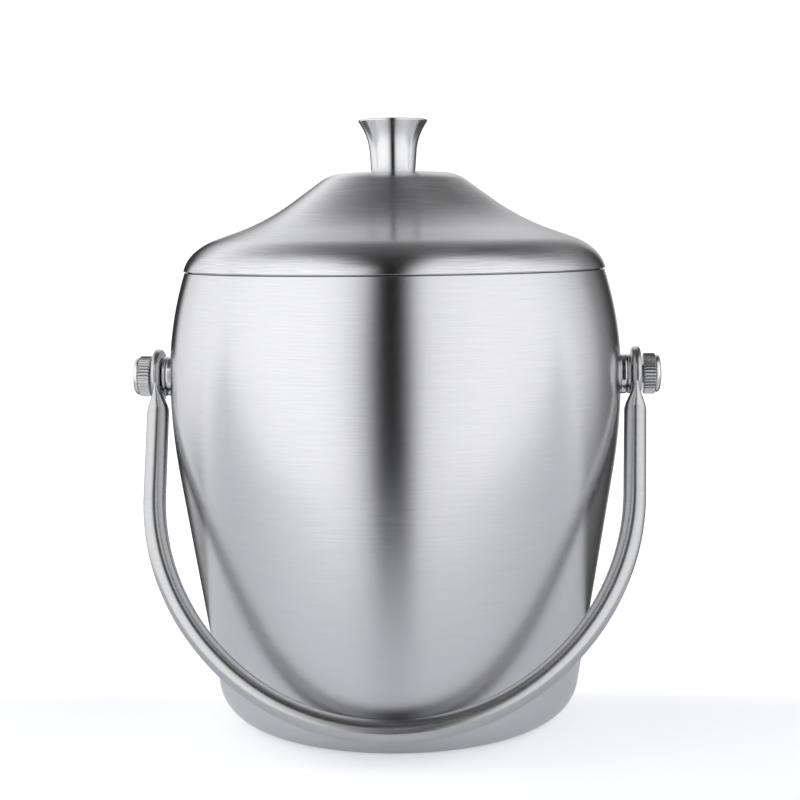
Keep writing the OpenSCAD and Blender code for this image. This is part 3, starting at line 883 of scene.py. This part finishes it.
# How far to the left and to the right the dark middle of the ceiling ends, against the same degrees
GAP_LEFT = [(0, 0.16), (46, 0.17), (58, 0.34), (75, 0.36), (100, 0.56), (130, 0.58), (180, 0.58)]
GAP_RIGHT = [(0, 0.16), (46, 0.16), (58, 0.20), (78, 0.26), (100, 0.80), (130, 0.90), (180, 0.90)]
BOX_FADE = (0.4, 1.6)        # the light boxes fade in over this stretch of that width
LEFT_BOX, RIGHT_BOX = 0.95, 0.78
PANEL_EDGE = (0.19, 0.32)    # how far to the right the ceiling's dark panel fades in
PANEL_LIGHT = 0.2            # how much light is left on it
CEILING_EDGE = (0.5, 0.8)    # how high up the ring of light gives way to the ceiling
BACK_RISE = 0.36             # how much lower the ceiling comes down behind the bucket
TABLE_EDGE = (-0.32, -0.14)  # how far down the table's back edge is seen
TABLE_END = (-0.40, -0.05)   # how far round the table's back edge gives way to the open table
LOW_LIGHT = 0.05             # what is seen past the table's back edge
BOX_LIGHT = 1.5
BACKDROP_LIGHT = 1.2         # what the camera itself sees behind the bucket


def ceiling(g, front, side, up):
    """Two light boxes overhead with a dark middle between them, and a dark panel on the right."""
    tilt = g.math("DIVIDE", g.math("ARCTAN2", g.math("MAXIMUM", up, 0.0), front), radians(180))
    arch, gap_left, gap_right = (
        g.ramp(tilt, [(a / 180, level) for a, level in stops]) for stops in (ARCH, GAP_LEFT, GAP_RIGHT)
    )
    on_right = g.math("GREATER_THAN", side, 0.0)
    wide = g.math("DIVIDE", g.math("ABSOLUTE", side), g.mix(on_right, gap_left, gap_right))
    boxes = g.rescale(wide, *BOX_FADE, 0.0, 1.0, smooth=True)
    box = g.mix(on_right, grey(LEFT_BOX), grey(RIGHT_BOX))
    panel = g.rescale(side, *PANEL_EDGE, 1.0, PANEL_LIGHT, smooth=True)
    return g.mix(boxes, g.math("MULTIPLY", arch, panel), box)


def horizon(g, front, side, up):
    """The ring of light round the bucket, and what is seen past the table's back edge."""
    turn = g.math("DIVIDE", g.math("ARCTAN2", side, front), radians(360))
    ring = g.ramp(g.math("ADD", turn, 0.5), [(0.5 + a / 360, level) for a, level in RING])
    low = g.rescale(up, *TABLE_EDGE, 0.0, 1.0, smooth=True)
    before = g.rescale(front, *TABLE_END, 0.0, 1.0)
    return g.mix(g.math("MAXIMUM", low, before), grey(LOW_LIGHT), ring)


def make_world():
    """The studio that the steel reflects. The camera itself sees a white backdrop."""
    world = bpy.data.worlds.new("studio")
    world.use_nodes = True
    bpy.context.scene.world = world
    g = Graph(world.node_tree)
    way = g.node("ShaderNodeTexCoord").outputs["Generated"]

    def toward(axis):
        n = g.node("ShaderNodeVectorMath", operation="DOT_PRODUCT")
        g.plug(n.inputs[0], way)
        g.plug(n.inputs[1], axis)
        return n.outputs["Value"]

    front, side, up = toward(FRONT), toward(SIDE), toward(Vector((0, 0, 1)))
    behind = g.math("MULTIPLY", g.math("MAXIMUM", g.math("MULTIPLY", front, -1.0), 0.0), BACK_RISE)
    high = g.rescale(g.math("ADD", up, behind), *CEILING_EDGE, 0.0, 1.0, smooth=True)
    light = g.node("ShaderNodeBackground")
    g.plug(light.inputs["Color"], g.mix(high, horizon(g, front, side, up), ceiling(g, front, side, up)))
    g.plug(light.inputs["Strength"], BOX_LIGHT)
    backdrop = g.node("ShaderNodeBackground")
    g.plug(backdrop.inputs["Color"], grey(1))
    g.plug(backdrop.inputs["Strength"], BACKDROP_LIGHT)
    pick = g.node("ShaderNodeMixShader")
    g.plug(pick.inputs[0], g.node("ShaderNodeLightPath").outputs["Is Camera Ray"])
    g.plug(pick.inputs[1], light.outputs[0])
    g.plug(pick.inputs[2], backdrop.outputs[0])
    g.plug(g.node("ShaderNodeOutputWorld").inputs["Surface"], pick.outputs[0])


make_floor()
make_world()
bpy.context.scene.view_settings.view_transform = "Standard"
